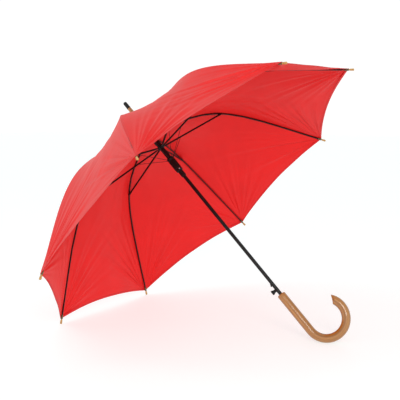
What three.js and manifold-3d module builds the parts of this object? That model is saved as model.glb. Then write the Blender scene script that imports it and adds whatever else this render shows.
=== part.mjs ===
// A stick umbrella with eight ribs, standing open and leaning on two rib tips and its crook handle.
// Millimetres. The umbrella is built upright, with its shaft along Z, its ferrule up and height 0
// in the plane of the rib tips; the last lines lean it over and set it on the ground.
import * as THREE from 'three';
import { mergeVertices } from 'three/addons/utils/BufferGeometryUtils.js';
import Module from 'manifold-3d';

const wasm = await Module();
wasm.setup();

// Driving dimensions
const RIBS = 8;
const TIP_RADIUS = 520;
const NOTCH_HEIGHT = 248.2;
const ELBOW_RADIUS = 258.3;
const ELBOW_HEIGHT = 220.9;
const HINGE_RADIUS = 8.5;
const SHAFT_RADIUS = 4.7;
const BORE_RADIUS = 3.9;
const FERRULE_END = 367.6;
const CAP_BASE = 345.5;
const HANDLE_TOP = -324.4;
const CROOK_HEIGHT = -442.4;
const CROOK_RADIUS = 49.7;
const CROOK_TURN = THREE.MathUtils.degToRad(204);
const BEVEL_TURN = THREE.MathUtils.degToRad(14);
const HANDLE_RADIUS = 11.2;
const COLLAR_END = 87;
const BARREL_END = 105.5;
const CATCH_HEIGHT = -294.4;
const BUTTON_HEIGHT = -308.4;
const GAP = 0.35;

// The elbow lies halfway between the notch and the runner, so rib and stretcher fold alike.
const RUNNER_HEIGHT = 2 * ELBOW_HEIGHT - NOTCH_HEIGHT;
const STRETCHER_LENGTH = Math.hypot(ELBOW_RADIUS - HINGE_RADIUS, ELBOW_HEIGHT - RUNNER_HEIGHT);
const STRETCHER_RISE = Math.atan2(ELBOW_HEIGHT - RUNNER_HEIGHT, ELBOW_RADIUS - HINGE_RADIUS);

// Helper wires run from the barrel crown to a point part way out along each stretcher.
const WIRE_HEIGHT = RUNNER_HEIGHT - 44;
const WIRE_HINGE_RADIUS = 8.8;
const WIRE_REACH = 70;

// Turns about the shaft: spoke k stands at -45 degrees times k, and the crook bends towards spoke 1.
const SPOKE_STEP = (2 * Math.PI) / RIBS;
const CROOK_SPOKE = 1;
const CATCH_SPOKE = 5;

// The open umbrella rests on the tips of spokes 5 and 6, and leans back onto its crook.
const REST_SPOKE = 5.5;
const LEAN = THREE.MathUtils.degToRad(45.1);

const finishes = {
  blackSteel: { color: 0x17171a, roughness: 0.38, metalness: 0.7 },
  blackPlastic: { color: 0x1b1b1d, roughness: 0.5, metalness: 0.0 },
  wood: { color: 0xb07846, roughness: 0.3, metalness: 0.0 },
  tan: { color: 0xb98f52, roughness: 0.45, metalness: 0.0 },
  silver: { color: 0xd0d2d4, roughness: 0.25, metalness: 1.0 },
  springSteel: { color: 0x8d8f92, roughness: 0.35, metalness: 1.0 },
  redFabric: { color: 0xe0202a, roughness: 0.75, metalness: 0.0 },
};

const umbrella = new THREE.Group();

function addPiece(name, geometry, finish, parent = umbrella) {
  const mesh = new THREE.Mesh(geometry, new THREE.MeshStandardMaterial(finishes[finish]));
  mesh.name = name;
  parent.add(mesh);
  return mesh;
}

// Solids -------------------------------------------------------------------------------------

function toSolid(geometry) {
  const bare = geometry.index ? geometry.toNonIndexed() : geometry.clone();
  bare.deleteAttribute('normal');
  bare.deleteAttribute('uv');
  const merged = mergeVertices(bare, 1e-4);
  const triangles = Uint32Array.from(merged.index.array);
  const points = Float32Array.from(merged.attributes.position.array);
  if (signedVolume(points, triangles) < 0) {
    for (let i = 0; i < triangles.length; i += 3) {
      [triangles[i], triangles[i + 1]] = [triangles[i + 1], triangles[i]];
    }
  }
  return new wasm.Manifold(new wasm.Mesh({ numProp: 3, vertProperties: points, triVerts: triangles }));
}

function signedVolume(points, triangles) {
  const corner = (i) => new THREE.Vector3().fromArray(points, 3 * triangles[i]);
  let sum = 0;
  for (let i = 0; i < triangles.length; i += 3) {
    sum += corner(i).dot(corner(i + 1).cross(corner(i + 2)));
  }
  return sum;
}

function toGeometry(solid) {
  const mesh = solid.getMesh();
  const geometry = new THREE.BufferGeometry();
  geometry.setAttribute('position', new THREE.BufferAttribute(Float32Array.from(mesh.vertProperties), 3));
  geometry.setIndex(new THREE.BufferAttribute(Uint32Array.from(mesh.triVerts), 1));
  geometry.computeVertexNormals();
  return geometry;
}

const joined = (...shapes) => toGeometry(shapes.map(toSolid).reduce((a, b) => a.add(b)));

function cut(shape, ...tools) {
  return toGeometry(tools.map(toSolid).reduce((rest, tool) => rest.subtract(tool), toSolid(shape)));
}

// A turned piece about Z. The profile is a list of [radius, height] pairs.
function turned(profile, sides = 16) {
  const points = profile.map(([radius, height]) => new THREE.Vector2(radius, height));
  return new THREE.LatheGeometry(points, sides).rotateX(Math.PI / 2);
}

// A turned piece with a bore, whose outline [radius, height] pairs climb the outside.
function sleeve(bore, outline, sides = 16) {
  const low = outline[0][1];
  const high = outline[outline.length - 1][1];
  return turned([[bore, low], ...outline, [bore, high], [bore, low]], sides);
}

// A flat plate standing in the plane of a spoke: x is the radius and y the height of its outline.
function plate(shape, thickness, curveSegments = 4) {
  const options = { depth: thickness, bevelEnabled: false, curveSegments };
  return new THREE.ExtrudeGeometry(shape, options).translate(0, 0, -thickness / 2).rotateX(Math.PI / 2);
}

function box(x0, x1, y0, y1, z0, z1) {
  const geometry = new THREE.BoxGeometry(x1 - x0, y1 - y0, z1 - z0);
  return geometry.translate((x0 + x1) / 2, (y0 + y1) / 2, (z0 + z1) / 2);
}

// A straight round bar between two points.
function bar(from, to, radius, sides = 6) {
  const length = from.distanceTo(to);
  const geometry = new THREE.CylinderGeometry(radius, radius, length, sides);
  const turn = new THREE.Quaternion().setFromUnitVectors(
    new THREE.Vector3(0, 1, 0), to.clone().sub(from).normalize());
  const middle = from.clone().add(to).multiplyScalar(0.5);
  return geometry.applyQuaternion(turn).translate(middle.x, middle.y, middle.z);
}

// A thin sheet between two grids of points. Both layers are split along the same diagonals, so
// that they stay the same distance apart where the sheet curves both ways.
function sheet(lower, upper) {
  const rows = lower.length;
  const columns = lower[0].length;
  const above = rows * columns;
  const at = (row, column) => row * columns + column;
  const faces = [];
  for (let r = 0; r + 1 < rows; r += 1) {
    for (let c = 0; c + 1 < columns; c += 1) {
      const [a, b, d, e] = [at(r, c), at(r + 1, c), at(r + 1, c + 1), at(r, c + 1)];
      faces.push(a, b, d, a, d, e);
      faces.push(...[a, d, b, a, e, d].map((n) => above + n));
    }
  }
  const rim = [];
  for (let c = 0; c + 1 < columns; c += 1) rim.push(at(0, c));
  for (let r = 0; r + 1 < rows; r += 1) rim.push(at(r, columns - 1));
  for (let c = columns - 1; c > 0; c -= 1) rim.push(at(rows - 1, c));
  for (let r = rows - 1; r > 0; r -= 1) rim.push(at(r, 0));
  rim.forEach((here, n) => {
    const next = rim[(n + 1) % rim.length];
    faces.push(here, next, above + next, here, above + next, above + here);
  });
  const geometry = new THREE.BufferGeometry().setFromPoints([...lower.flat(), ...upper.flat()]);
  geometry.setIndex(faces);
  return toGeometry(toSolid(geometry));
}

// A closed skin through rings of points that all have the same count, with a flat fan at each end.
function lofted(rings) {
  const count = rings[0].length;
  const points = rings.flat();
  const faces = [];
  for (let r = 0; r + 1 < rings.length; r += 1) {
    for (let i = 0; i < count; i += 1) {
      const j = (i + 1) % count;
      const a = r * count;
      const b = a + count;
      faces.push(a + i, a + j, b + j, a + i, b + j, b + i);
    }
  }
  for (const [start, way] of [[0, 1], [(rings.length - 1) * count, -1]]) {
    for (let i = 1; i + 1 < count; i += 1) {
      const fan = way > 0 ? [0, i + 1, i] : [0, i, i + 1];
      faces.push(...fan.map((n) => start + n));
    }
  }
  const geometry = new THREE.BufferGeometry().setFromPoints(points);
  geometry.setIndex(faces);
  return toGeometry(toSolid(geometry));
}

function spokeGroup(spoke) {
  const group = new THREE.Group();
  group.rotation.z = -spoke * SPOKE_STEP;
  umbrella.add(group);
  return group;
}

function ringWire(radius, height, thickness) {
  return new THREE.TorusGeometry(radius, thickness, 4, 16).translate(0, 0, height);
}

// Slots for eyes: one box per spoke, reaching out from the slot floor.
function slots(floor, width, low, high) {
  return Array.from({ length: RIBS }, (_, k) => (
    box(floor, 20, -width / 2, width / 2, low, high).rotateZ(k * SPOKE_STEP)));
}

// A groove round a hub, which its ring wire lies in.
function wireGroove(radius, height, room) {
  return turned([
    [radius - room, height - room], [20, height - room], [20, height + room], [radius - room, height + room],
    [radius - room, height - room]]);
}

// The curve of a rib --------------------------------------------------------------------------

// Height of a rib's centre line at a radius: two smooth spans that meet at the elbow.
const SLOPES = { notch: -0.076, elbow: -0.45, tip: -0.9 };

function spanHeight(t, width, h0, h1, slope0, slope1) {
  const rise = h0 * (1 + 2 * t) * (1 - t) ** 2 + h1 * t * t * (3 - 2 * t);
  return rise + width * (slope0 * t * (1 - t) ** 2 - slope1 * t * t * (1 - t));
}

function ribHeight(radius) {
  if (radius < ELBOW_RADIUS) {
    const width = ELBOW_RADIUS - HINGE_RADIUS;
    const t = (radius - HINGE_RADIUS) / width;
    return spanHeight(t, width, NOTCH_HEIGHT, ELBOW_HEIGHT, SLOPES.notch, SLOPES.elbow);
  }
  const width = TIP_RADIUS - ELBOW_RADIUS;
  const t = (radius - ELBOW_RADIUS) / width;
  return spanHeight(t, width, ELBOW_HEIGHT, 0, SLOPES.elbow, SLOPES.tip);
}

// A point at a distance above the rib's centre line, square to it.
function besideRib(radius, offset) {
  const slope = (ribHeight(radius + 0.5) - ribHeight(radius - 0.5));
  const length = Math.hypot(1, slope);
  return new THREE.Vector2(radius - (offset * slope) / length, ribHeight(radius) + offset / length);
}

// Radii from one end of a rib to the other, closest together at the elbow, where it bends most.
function stationRadii(inner, outer, half) {
  return Array.from({ length: 2 * half + 1 }, (_, i) => {
    const share = (i - half) / half;
    const reach = share < 0 ? ELBOW_RADIUS - inner : outer - ELBOW_RADIUS;
    return ELBOW_RADIUS + Math.sign(share) * reach * Math.abs(share) ** 1.5;
  });
}

const tipTilt = Math.atan(SLOPES.tip);
const TIP_LENGTH = 25;
const TIP_BORE = 2.15;
const TIP_BORE_DEPTH = 10.4;

// Ribs ----------------------------------------------------------------------------------------

const RIB_SPANS = 5;
const RIB_WIDTH = 2.6;
const RIB_HALF = 1.7;
const EYE_RADIUS = 2.1;
const EYE_HOLE = 0.9;
const EYE_WIDTH = 2;
const WIRE_EYE_WIDTH = 1.2;
const PIN_RADIUS = 0.8;

function ribShape() {
  const ribEnd = TIP_RADIUS - (TIP_LENGTH - TIP_BORE_DEPTH + 0.5) * Math.cos(tipTilt);
  const neck = ribEnd - 12;
  const start = HINGE_RADIUS + 2.4;
  const stations = stationRadii(start, neck, RIB_SPANS);
  const ending = [neck + 1.5, ribEnd];
  const below = stations.map((r) => besideRib(r, -RIB_HALF));
  const above = stations.map((r) => besideRib(r, RIB_HALF));
  const outline = [
    ...below,
    ...ending.map((r) => besideRib(r, -1.15)),
    ...ending.reverse().map((r) => besideRib(r, 1.15)),
    ...above.reverse(),
  ];
  const shape = new THREE.Shape(outline);
  shape.absarc(HINGE_RADIUS, NOTCH_HEIGHT, EYE_RADIUS, 0.75, 2 * Math.PI - 0.8, false);
  const eye = new THREE.Path().absarc(HINGE_RADIUS, NOTCH_HEIGHT, EYE_HOLE, 0, 2 * Math.PI, true);
  const elbow = new THREE.Path().absarc(
    ELBOW_RADIUS, ELBOW_HEIGHT, PIN_RADIUS + GAP, 0, 2 * Math.PI, true);
  shape.holes.push(eye, elbow);
  return shape;
}

// Rib tip: a small capped ferrule with a waist where the canopy's corner is tied on.
function ribTip() {
  const outline = [
    [0, 0], [2.3, 0], [3.0, 1.2], [2.6, 11.2], [1.9, 11.9], [1.9, 13.3], [2.8, 14.2],
    [2.8, TIP_LENGTH], [TIP_BORE, TIP_LENGTH], [TIP_BORE, TIP_LENGTH - TIP_BORE_DEPTH],
    [0, TIP_LENGTH - TIP_BORE_DEPTH],
  ];
  return turned(outline, 8);
}

for (let k = 1; k <= RIBS; k += 1) {
  const spoke = spokeGroup(k);
  addPiece(`rib_${k}`, plate(ribShape(), RIB_WIDTH), 'blackSteel', spoke);
  const tip = addPiece(`rib_tip_${k}`, ribTip(), 'tan', spoke);
  tip.position.set(TIP_RADIUS, 0, 0);
  tip.rotation.y = -Math.PI / 2 - tipTilt;
}

// Stretchers ----------------------------------------------------------------------------------

// Drawn lying along X from the runner hinge at the origin, then tilted into place.
const CHANNEL_HALF_WIDTH = 1.9;
const CHANNEL_HALF_HEIGHT = 1.7;
const CHANNEL_WALL = 0.75;
const EAR_INSIDE = RIB_WIDTH / 2 + GAP + 0.05;
const EAR_WALL = 0.9;

function channel(from, to) {
  const w = CHANNEL_HALF_WIDTH;
  const h = CHANNEL_HALF_HEIGHT;
  const inside = w - CHANNEL_WALL;
  const roof = h - 0.8;
  const section = new THREE.Shape([
    [-w, -h], [-inside, -h], [-inside, roof], [inside, roof], [inside, -h], [w, -h], [w, h], [-w, h],
  ].map(([y, z]) => new THREE.Vector2(y, z)));
  const options = { depth: to - from, bevelEnabled: false };
  return new THREE.ExtrudeGeometry(section, options).rotateX(Math.PI / 2).rotateZ(Math.PI / 2)
    .translate(from, 0, 0);
}

function ear(side) {
  const shape = new THREE.Shape();
  shape.moveTo(STRETCHER_LENGTH - 16, -1.5);
  shape.lineTo(STRETCHER_LENGTH, -1.7);
  shape.absarc(STRETCHER_LENGTH, 0, 1.7, -Math.PI / 2, Math.PI / 2, false);
  shape.lineTo(STRETCHER_LENGTH - 16, 1.5);
  return plate(shape, EAR_WALL, 2).translate(0, side * (EAR_INSIDE + EAR_WALL / 2), 0);
}

function stretcherEye() {
  const shape = new THREE.Shape();
  shape.moveTo(1.7, -1.1);
  shape.lineTo(12, -1.1);
  shape.lineTo(12, 1.3);
  shape.lineTo(1.7, 1.3);
  shape.absarc(0, 0, EYE_RADIUS, 0.65, 2 * Math.PI - 0.55, false);
  shape.holes.push(new THREE.Path().absarc(0, 0, EYE_HOLE, 0, 2 * Math.PI, true));
  return plate(shape, EYE_WIDTH);
}

// The rivet that the rib turns on, held in both ears.
function elbowPin() {
  const half = EAR_INSIDE + EAR_WALL + 0.3;
  return bar(
    new THREE.Vector3(STRETCHER_LENGTH, -half, 0), new THREE.Vector3(STRETCHER_LENGTH, half, 0), PIN_RADIUS);
}

const stretcher = joined(
  channel(7, STRETCHER_LENGTH - 9), stretcherEye(), ear(-1), ear(1), elbowPin());

for (let k = 1; k <= RIBS; k += 1) {
  const piece = addPiece(`stretcher_${k}`, stretcher.clone(), 'blackSteel', spokeGroup(k));
  piece.position.set(HINGE_RADIUS, 0, RUNNER_HEIGHT);
  piece.rotation.y = -STRETCHER_RISE;
}

// Helper wires --------------------------------------------------------------------------------

// The wire's outer end lies inside the stretcher's channel, a little under its middle line.
const WIRE_THICKNESS = 0.65;
const WIRE_DROP = 0.9;
const wireEnd = new THREE.Vector3(
  HINGE_RADIUS + WIRE_REACH * Math.cos(STRETCHER_RISE) + WIRE_DROP * Math.sin(STRETCHER_RISE), 0,
  RUNNER_HEIGHT + WIRE_REACH * Math.sin(STRETCHER_RISE) - WIRE_DROP * Math.cos(STRETCHER_RISE));

function helperWire() {
  const eye = new THREE.Shape().absarc(WIRE_HINGE_RADIUS, WIRE_HEIGHT, 1.45, 0, 2 * Math.PI, false);
  eye.holes.push(new THREE.Path().absarc(WIRE_HINGE_RADIUS, WIRE_HEIGHT, 0.75, 0, 2 * Math.PI, true));
  const hinge = new THREE.Vector3(WIRE_HINGE_RADIUS, 0, WIRE_HEIGHT);
  const along = wireEnd.clone().sub(hinge).normalize();
  const rod = bar(hinge.clone().addScaledVector(along, 1.1), wireEnd, WIRE_THICKNESS);
  return joined(plate(eye, WIRE_EYE_WIDTH), rod);
}

const wire = helperWire();
for (let k = 1; k <= RIBS; k += 1) {
  addPiece(`helper_wire_${k}`, wire.clone(), 'blackSteel', spokeGroup(k));
}

// Shaft, handle and ferrule -------------------------------------------------------------------

const SHAFT_LOW = HANDLE_TOP - 40;
const SHAFT_HIGH = NOTCH_HEIGHT + 44;
const TOOTH_TOP = CATCH_HEIGHT + 9;
const TOOTH_HALF = 1.2;
const STEM_HALF = 4;
const STEM_SIDE = 1.7;

const catchSpoke = spokeGroup(CATCH_SPOKE);
const catchTurn = -CATCH_SPOKE * SPOKE_STEP;

function catchWindow(low, high, halfWidth) {
  return box(2, 12, -halfWidth - GAP, halfWidth + GAP, low - GAP, high + GAP).rotateZ(catchTurn);
}

const tube = sleeve(BORE_RADIUS, [[SHAFT_RADIUS, SHAFT_LOW], [SHAFT_RADIUS, SHAFT_HIGH]]);
addPiece('shaft', cut(
  tube,
  catchWindow(CATCH_HEIGHT, TOOTH_TOP, TOOTH_HALF),
  catchWindow(BUTTON_HEIGHT - STEM_HALF, BUTTON_HEIGHT + STEM_HALF, STEM_SIDE)), 'blackSteel');

// One ring of the crook's skin, squeezed across the bend and less so to the sides.
function crookRing(centre, along, across, radius, left = 1) {
  const side = new THREE.Vector3().crossVectors(along, across);
  const sides = 12;
  return Array.from({ length: sides }, (_, i) => {
    const turn = (i / sides) * 2 * Math.PI;
    return centre.clone()
      .addScaledVector(across, radius * left * Math.cos(turn))
      .addScaledVector(side, radius * Math.sqrt(left) * Math.sin(turn));
  });
}

// The crook: straight down the shaft's line, then round an arc. Past the arc its end is cut back
// from the inside of the bend, to a blunt point on the outside.
function crookRings() {
  const down = new THREE.Vector3(0, 0, -1);
  const out = new THREE.Vector3(1, 0, 0);
  const straight = (drop, radius) => (
    crookRing(new THREE.Vector3(0, 0, HANDLE_TOP - drop), down, out, radius));
  const bent = (turn, left = 1) => {
    const radius = CROOK_RADIUS + HANDLE_RADIUS * (1 - left) * 0.95;
    const along = new THREE.Vector3(Math.sin(turn), 0, -Math.cos(turn));
    const across = new THREE.Vector3(Math.cos(turn), 0, Math.sin(turn));
    const centre = new THREE.Vector3(CROOK_RADIUS, 0, CROOK_HEIGHT).addScaledVector(across, -radius);
    return crookRing(centre, along, across, HANDLE_RADIUS, left);
  };
  const rings = [straight(0, HANDLE_RADIUS - 1.6), straight(1.6, HANDLE_RADIUS), straight(60, HANDLE_RADIUS)];
  const arcSteps = 14;
  for (let i = 0; i <= arcSteps; i += 1) rings.push(bent((CROOK_TURN * i) / arcSteps));
  for (const share of [0.3, 0.6, 0.85, 1]) {
    rings.push(bent(CROOK_TURN + BEVEL_TURN * share, 1 - 0.68 * share - 0.25 * share ** 2));
  }
  return rings;
}

const handleBore = new THREE.CylinderGeometry(SHAFT_RADIUS + GAP, SHAFT_RADIUS + GAP, 44, 16)
  .rotateX(Math.PI / 2).translate(0, 0, HANDLE_TOP - 20);
addPiece('crook_handle', cut(lofted(crookRings()), handleBore), 'wood', spokeGroup(CROOK_SPOKE));

// Wooden ferrule above the canopy, bored for the shaft, with a spigot that the cap is fixed on.
const FERRULE_BASE = NOTCH_HEIGHT + 12.5;
addPiece('ferrule', turned([
  [SHAFT_RADIUS + GAP, FERRULE_BASE], [9.2, FERRULE_BASE], [9.6, FERRULE_BASE + 2], [8.4, FERRULE_BASE + 14],
  [6.6, FERRULE_BASE + 40], [5.4, CAP_BASE - GAP], [3.9, CAP_BASE - GAP], [3.9, CAP_BASE + 13],
  [0, CAP_BASE + 13], [0, SHAFT_HIGH + GAP], [SHAFT_RADIUS + GAP, SHAFT_HIGH + GAP],
  [SHAFT_RADIUS + GAP, FERRULE_BASE],
]), 'wood');

addPiece('ferrule_cap', turned([
  [0, CAP_BASE + 13 + GAP], [3.9 + GAP, CAP_BASE + 13 + GAP], [3.9 + GAP, CAP_BASE], [5.6, CAP_BASE],
  [5.5, CAP_BASE + 14], [5.1, FERRULE_END - 1.2], [4.2, FERRULE_END], [0, FERRULE_END],
]), 'blackPlastic');

// Top notch: a slotted hub under a plain disc; the ring wire threads the rib eyes.
addPiece('top_notch', cut(
  sleeve(SHAFT_RADIUS + GAP, [
    [9.6, NOTCH_HEIGHT - 6], [10.2, NOTCH_HEIGHT - 4.5], [10.2, NOTCH_HEIGHT + 4.6],
    [6.8, NOTCH_HEIGHT + 7]]),
  ...slots(6.1, RIB_WIDTH + 2 * GAP, NOTCH_HEIGHT - 10, NOTCH_HEIGHT + 2.6),
  wireGroove(HINGE_RADIUS, NOTCH_HEIGHT, 0.9)), 'blackPlastic');
addPiece('notch_ring_wire', ringWire(HINGE_RADIUS, NOTCH_HEIGHT, 0.5), 'springSteel');

addPiece('canopy_washer', sleeve(SHAFT_RADIUS + GAP, [
  [15, NOTCH_HEIGHT + 10], [15, NOTCH_HEIGHT + 10.8], [9, NOTCH_HEIGHT + 12.1]], 20), 'blackPlastic');

// Runner --------------------------------------------------------------------------------------

const STEM_RADIUS = 6.3;
const RUNNER_BORE = SHAFT_RADIUS + 0.4;
addPiece('runner_head', cut(
  sleeve(RUNNER_BORE, [
    [STEM_RADIUS, RUNNER_HEIGHT - 46], [STEM_RADIUS, RUNNER_HEIGHT - 5.5], [9.2, RUNNER_HEIGHT - 4],
    [9.6, RUNNER_HEIGHT - 3], [9.6, RUNNER_HEIGHT + 4.6], [7.1, RUNNER_HEIGHT + 4.8],
    [7.1, RUNNER_HEIGHT + 12], [8.1, RUNNER_HEIGHT + 13], [8.1, RUNNER_HEIGHT + 32],
    [7.5, RUNNER_HEIGHT + 33]]),
  ...slots(6.1, EYE_WIDTH + 0.8, RUNNER_HEIGHT - 2.5, RUNNER_HEIGHT + 4.7),
  wireGroove(HINGE_RADIUS, RUNNER_HEIGHT, 0.9)), 'blackPlastic');
addPiece('runner_ring_wire', ringWire(HINGE_RADIUS, RUNNER_HEIGHT, 0.5), 'springSteel');

const BARREL_RADIUS = 9.4;
const CHAMBER_RADIUS = 8.2;
const COLLAR_RADIUS = 6.9;
const FLANGE_BASE = BARREL_END + 3.6;
const FLANGE_TOP = FLANGE_BASE + 2.8;
const RIVET_HEIGHT = (FLANGE_BASE + FLANGE_TOP) / 2;
const RIVET_TURN = THREE.MathUtils.degToRad(-110);

const rivetHole = new THREE.CylinderGeometry(1.3, 1.3, 6, 10).rotateZ(Math.PI / 2)
  .translate(BARREL_RADIUS, 0, RIVET_HEIGHT).rotateZ(RIVET_TURN);
addPiece('runner_barrel', cut(
  turned([
    [COLLAR_RADIUS + GAP, BARREL_END], [BARREL_RADIUS - 1.2, BARREL_END], [BARREL_RADIUS, BARREL_END + 1.5],
    [BARREL_RADIUS, WIRE_HEIGHT - 5], [10.2, WIRE_HEIGHT - 3.4], [10.2, WIRE_HEIGHT + 3.2],
    [9.6, WIRE_HEIGHT + 4], [STEM_RADIUS + 0.4, WIRE_HEIGHT + 4], [STEM_RADIUS + 0.4, WIRE_HEIGHT - 7],
    [CHAMBER_RADIUS, WIRE_HEIGHT - 8], [CHAMBER_RADIUS, FLANGE_BASE - 0.3],
    [COLLAR_RADIUS + GAP, FLANGE_BASE - 0.3], [COLLAR_RADIUS + GAP, BARREL_END]]),
  ...slots(7.25, WIRE_EYE_WIDTH + 0.9, WIRE_HEIGHT - 1.9, WIRE_HEIGHT + 5),
  wireGroove(WIRE_HINGE_RADIUS, WIRE_HEIGHT, 0.75), rivetHole), 'blackPlastic');
addPiece('barrel_ring_wire', ringWire(WIRE_HINGE_RADIUS, WIRE_HEIGHT, 0.4), 'springSteel');

const catchSlot = box(3, 12, -TOOTH_HALF - 0.4, TOOTH_HALF + 0.4, COLLAR_END - 1, COLLAR_END + 16.8)
  .rotateZ(catchTurn);
addPiece('barrel_collar', cut(
  sleeve(RUNNER_BORE, [
    [COLLAR_RADIUS - 0.8, COLLAR_END], [COLLAR_RADIUS, COLLAR_END + 1], [COLLAR_RADIUS, FLANGE_BASE],
    [CHAMBER_RADIUS - GAP, FLANGE_BASE], [CHAMBER_RADIUS - GAP, FLANGE_TOP]]),
  catchSlot), 'blackPlastic');

// The rivet's shank ends in the barrel's wall, just short of the collar's flange.
const rivet = addPiece('barrel_rivet', turned([
  [0, -1.1], [0.95, -1.1], [0.95, 0.2], [2.3, 0.2], [2.1, 0.8], [1.2, 1.3], [0, 1.4]], 12), 'silver');
rivet.position.set(BARREL_RADIUS, 0, RIVET_HEIGHT).applyAxisAngle(new THREE.Vector3(0, 0, 1), RIVET_TURN);
rivet.quaternion.setFromUnitVectors(
  new THREE.Vector3(0, 0, 1), new THREE.Vector3(Math.cos(RIVET_TURN), Math.sin(RIVET_TURN), 0));

// Opening spring: a coil between the collar's flange and the end of the runner head's stem.
class Coil extends THREE.Curve {
  constructor(radius, low, high, turns) {
    super();
    Object.assign(this, { radius, low, high, turns });
  }

  getPoint(t, target = new THREE.Vector3()) {
    const turn = 2 * Math.PI * this.turns * t;
    const height = this.low + (this.high - this.low) * t;
    return target.set(this.radius * Math.cos(turn), this.radius * Math.sin(turn), height);
  }
}

const COIL_TURNS = 5;
const springSection = new THREE.Shape().absarc(0, 0, 0.42, 0, 2 * Math.PI, false);
addPiece('opening_spring', new THREE.ExtrudeGeometry(springSection, {
  extrudePath: new Coil(5.9, FLANGE_TOP + 1, RUNNER_HEIGHT - 47, COIL_TURNS),
  steps: COIL_TURNS * 8,
  curveSegments: 2,
  bevelEnabled: false,
}), 'springSteel');

// Catch and button ----------------------------------------------------------------------------

const toothShape = new THREE.Shape();
toothShape.moveTo(1.4, CATCH_HEIGHT);
toothShape.lineTo(8.4, CATCH_HEIGHT);
toothShape.lineTo(SHAFT_RADIUS, TOOTH_TOP);
toothShape.lineTo(1.4, TOOTH_TOP);
addPiece('catch_tooth', plate(toothShape, 2 * TOOTH_HALF), 'blackSteel', catchSpoke);

const BUTTON_FACE = 16.3;
const BUTTON_HALF = 6.2;
const BUTTON_NECK = 9.2;
const BUTTON_EDGE = 14.3;
const BUTTON_WIDTH = 6;
const buttonStem = box(
  2, BUTTON_NECK + 0.8, -STEM_SIDE, STEM_SIDE, BUTTON_HEIGHT - STEM_HALF, BUTTON_HEIGHT + STEM_HALF);
const headShape = new THREE.Shape([
  [BUTTON_NECK, -STEM_HALF], [BUTTON_EDGE, -BUTTON_HALF], [BUTTON_FACE, -BUTTON_HALF + 0.6],
  [BUTTON_FACE, BUTTON_HALF - 0.6], [BUTTON_EDGE, BUTTON_HALF], [BUTTON_NECK, STEM_HALF],
].map(([out, up]) => new THREE.Vector2(out, BUTTON_HEIGHT + up)));
addPiece('release_button', joined(buttonStem, plate(headShape, BUTTON_WIDTH)), 'blackPlastic', catchSpoke);

// Leaf spring inside the shaft, bowed towards the catch and the button.
const LEAF_BACK = -3.4;
const LEAF_BOW = 0.8;
const LEAF_THICKNESS = 0.4;
const leafLow = BUTTON_HEIGHT - 16;
const leafHigh = TOOTH_TOP + 14;
const leafMiddle = (leafLow + leafHigh) / 2;
const leafFront = LEAF_BACK + LEAF_THICKNESS;
const leafShape = new THREE.Shape();
leafShape.moveTo(LEAF_BACK, leafHigh);
leafShape.quadraticCurveTo(LEAF_BACK + LEAF_BOW, leafMiddle, LEAF_BACK, leafLow);
leafShape.lineTo(leafFront, leafLow);
leafShape.quadraticCurveTo(leafFront + LEAF_BOW, leafMiddle, leafFront, leafHigh);
addPiece('catch_spring', plate(leafShape, 2.2), 'springSteel', catchSpoke);

// Canopy --------------------------------------------------------------------------------------

// One panel spans two ribs: taut between them, sagging a little in the middle, with a hollow hem.
const CANOPY_CLEARANCE = 3.4;
const CANOPY_THICKNESS = 0.8;
const CANOPY_HOLE = 13;
const CORNER_RADIUS = 510;
const HEM_HOLLOW = 14;
const PANEL_SAG = 13;
const SAG_SHAPE = 1.1;
const PANEL_COLUMNS = 4;
const SEAM_GAP = 0.35;

function panelPoint(along, across, lift) {
  const outer = CORNER_RADIUS - HEM_HOLLOW * (1 - across * across);
  const radius = CANOPY_HOLE + (outer - CANOPY_HOLE) * along;
  const seam = besideRib(radius, CANOPY_CLEARANCE + lift);
  const half = seam.x * Math.sin(SPOKE_STEP / 2) - SEAM_GAP / 2;
  const sag = PANEL_SAG * Math.sin(Math.PI * along ** SAG_SHAPE) * (1 - across * across);
  return new THREE.Vector3(seam.x * Math.cos(SPOKE_STEP / 2) - sag * 0.4, half * across, seam.y - sag);
}

function panel() {
  const layer = (lift) => stationRadii(CANOPY_HOLE, CORNER_RADIUS, RIB_SPANS).map((radius) => {
    const along = (radius - CANOPY_HOLE) / (CORNER_RADIUS - CANOPY_HOLE);
    return Array.from({ length: PANEL_COLUMNS + 1 }, (_, j) => (
      panelPoint(along, (2 * j) / PANEL_COLUMNS - 1, lift)));
  });
  return sheet(layer(0), layer(CANOPY_THICKNESS));
}

for (let k = 1; k <= RIBS; k += 1) {
  addPiece(`canopy_panel_${k}`, panel(), 'redFabric', spokeGroup(k + 0.5));
}

// Standing pose -------------------------------------------------------------------------------

// Turn the resting spokes to face down, lean the shaft over, and centre the umbrella on the ground.
const turnedBody = new THREE.Group();
turnedBody.add(umbrella);
umbrella.rotation.z = REST_SPOKE * SPOKE_STEP + Math.PI;
turnedBody.rotation.y = -(Math.PI / 2 - LEAN);
const model = new THREE.Group();
model.add(turnedBody);
model.updateMatrixWorld(true);
const extent = new THREE.Box3().setFromObject(model, true);
const middle = extent.getCenter(new THREE.Vector3());
turnedBody.position.set(-middle.x, -middle.y, -extent.min.z);
model.updateMatrixWorld(true);

export default model;
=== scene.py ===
import math

import bpy
import bmesh
import numpy as np
from mathutils import Matrix, Vector


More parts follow.
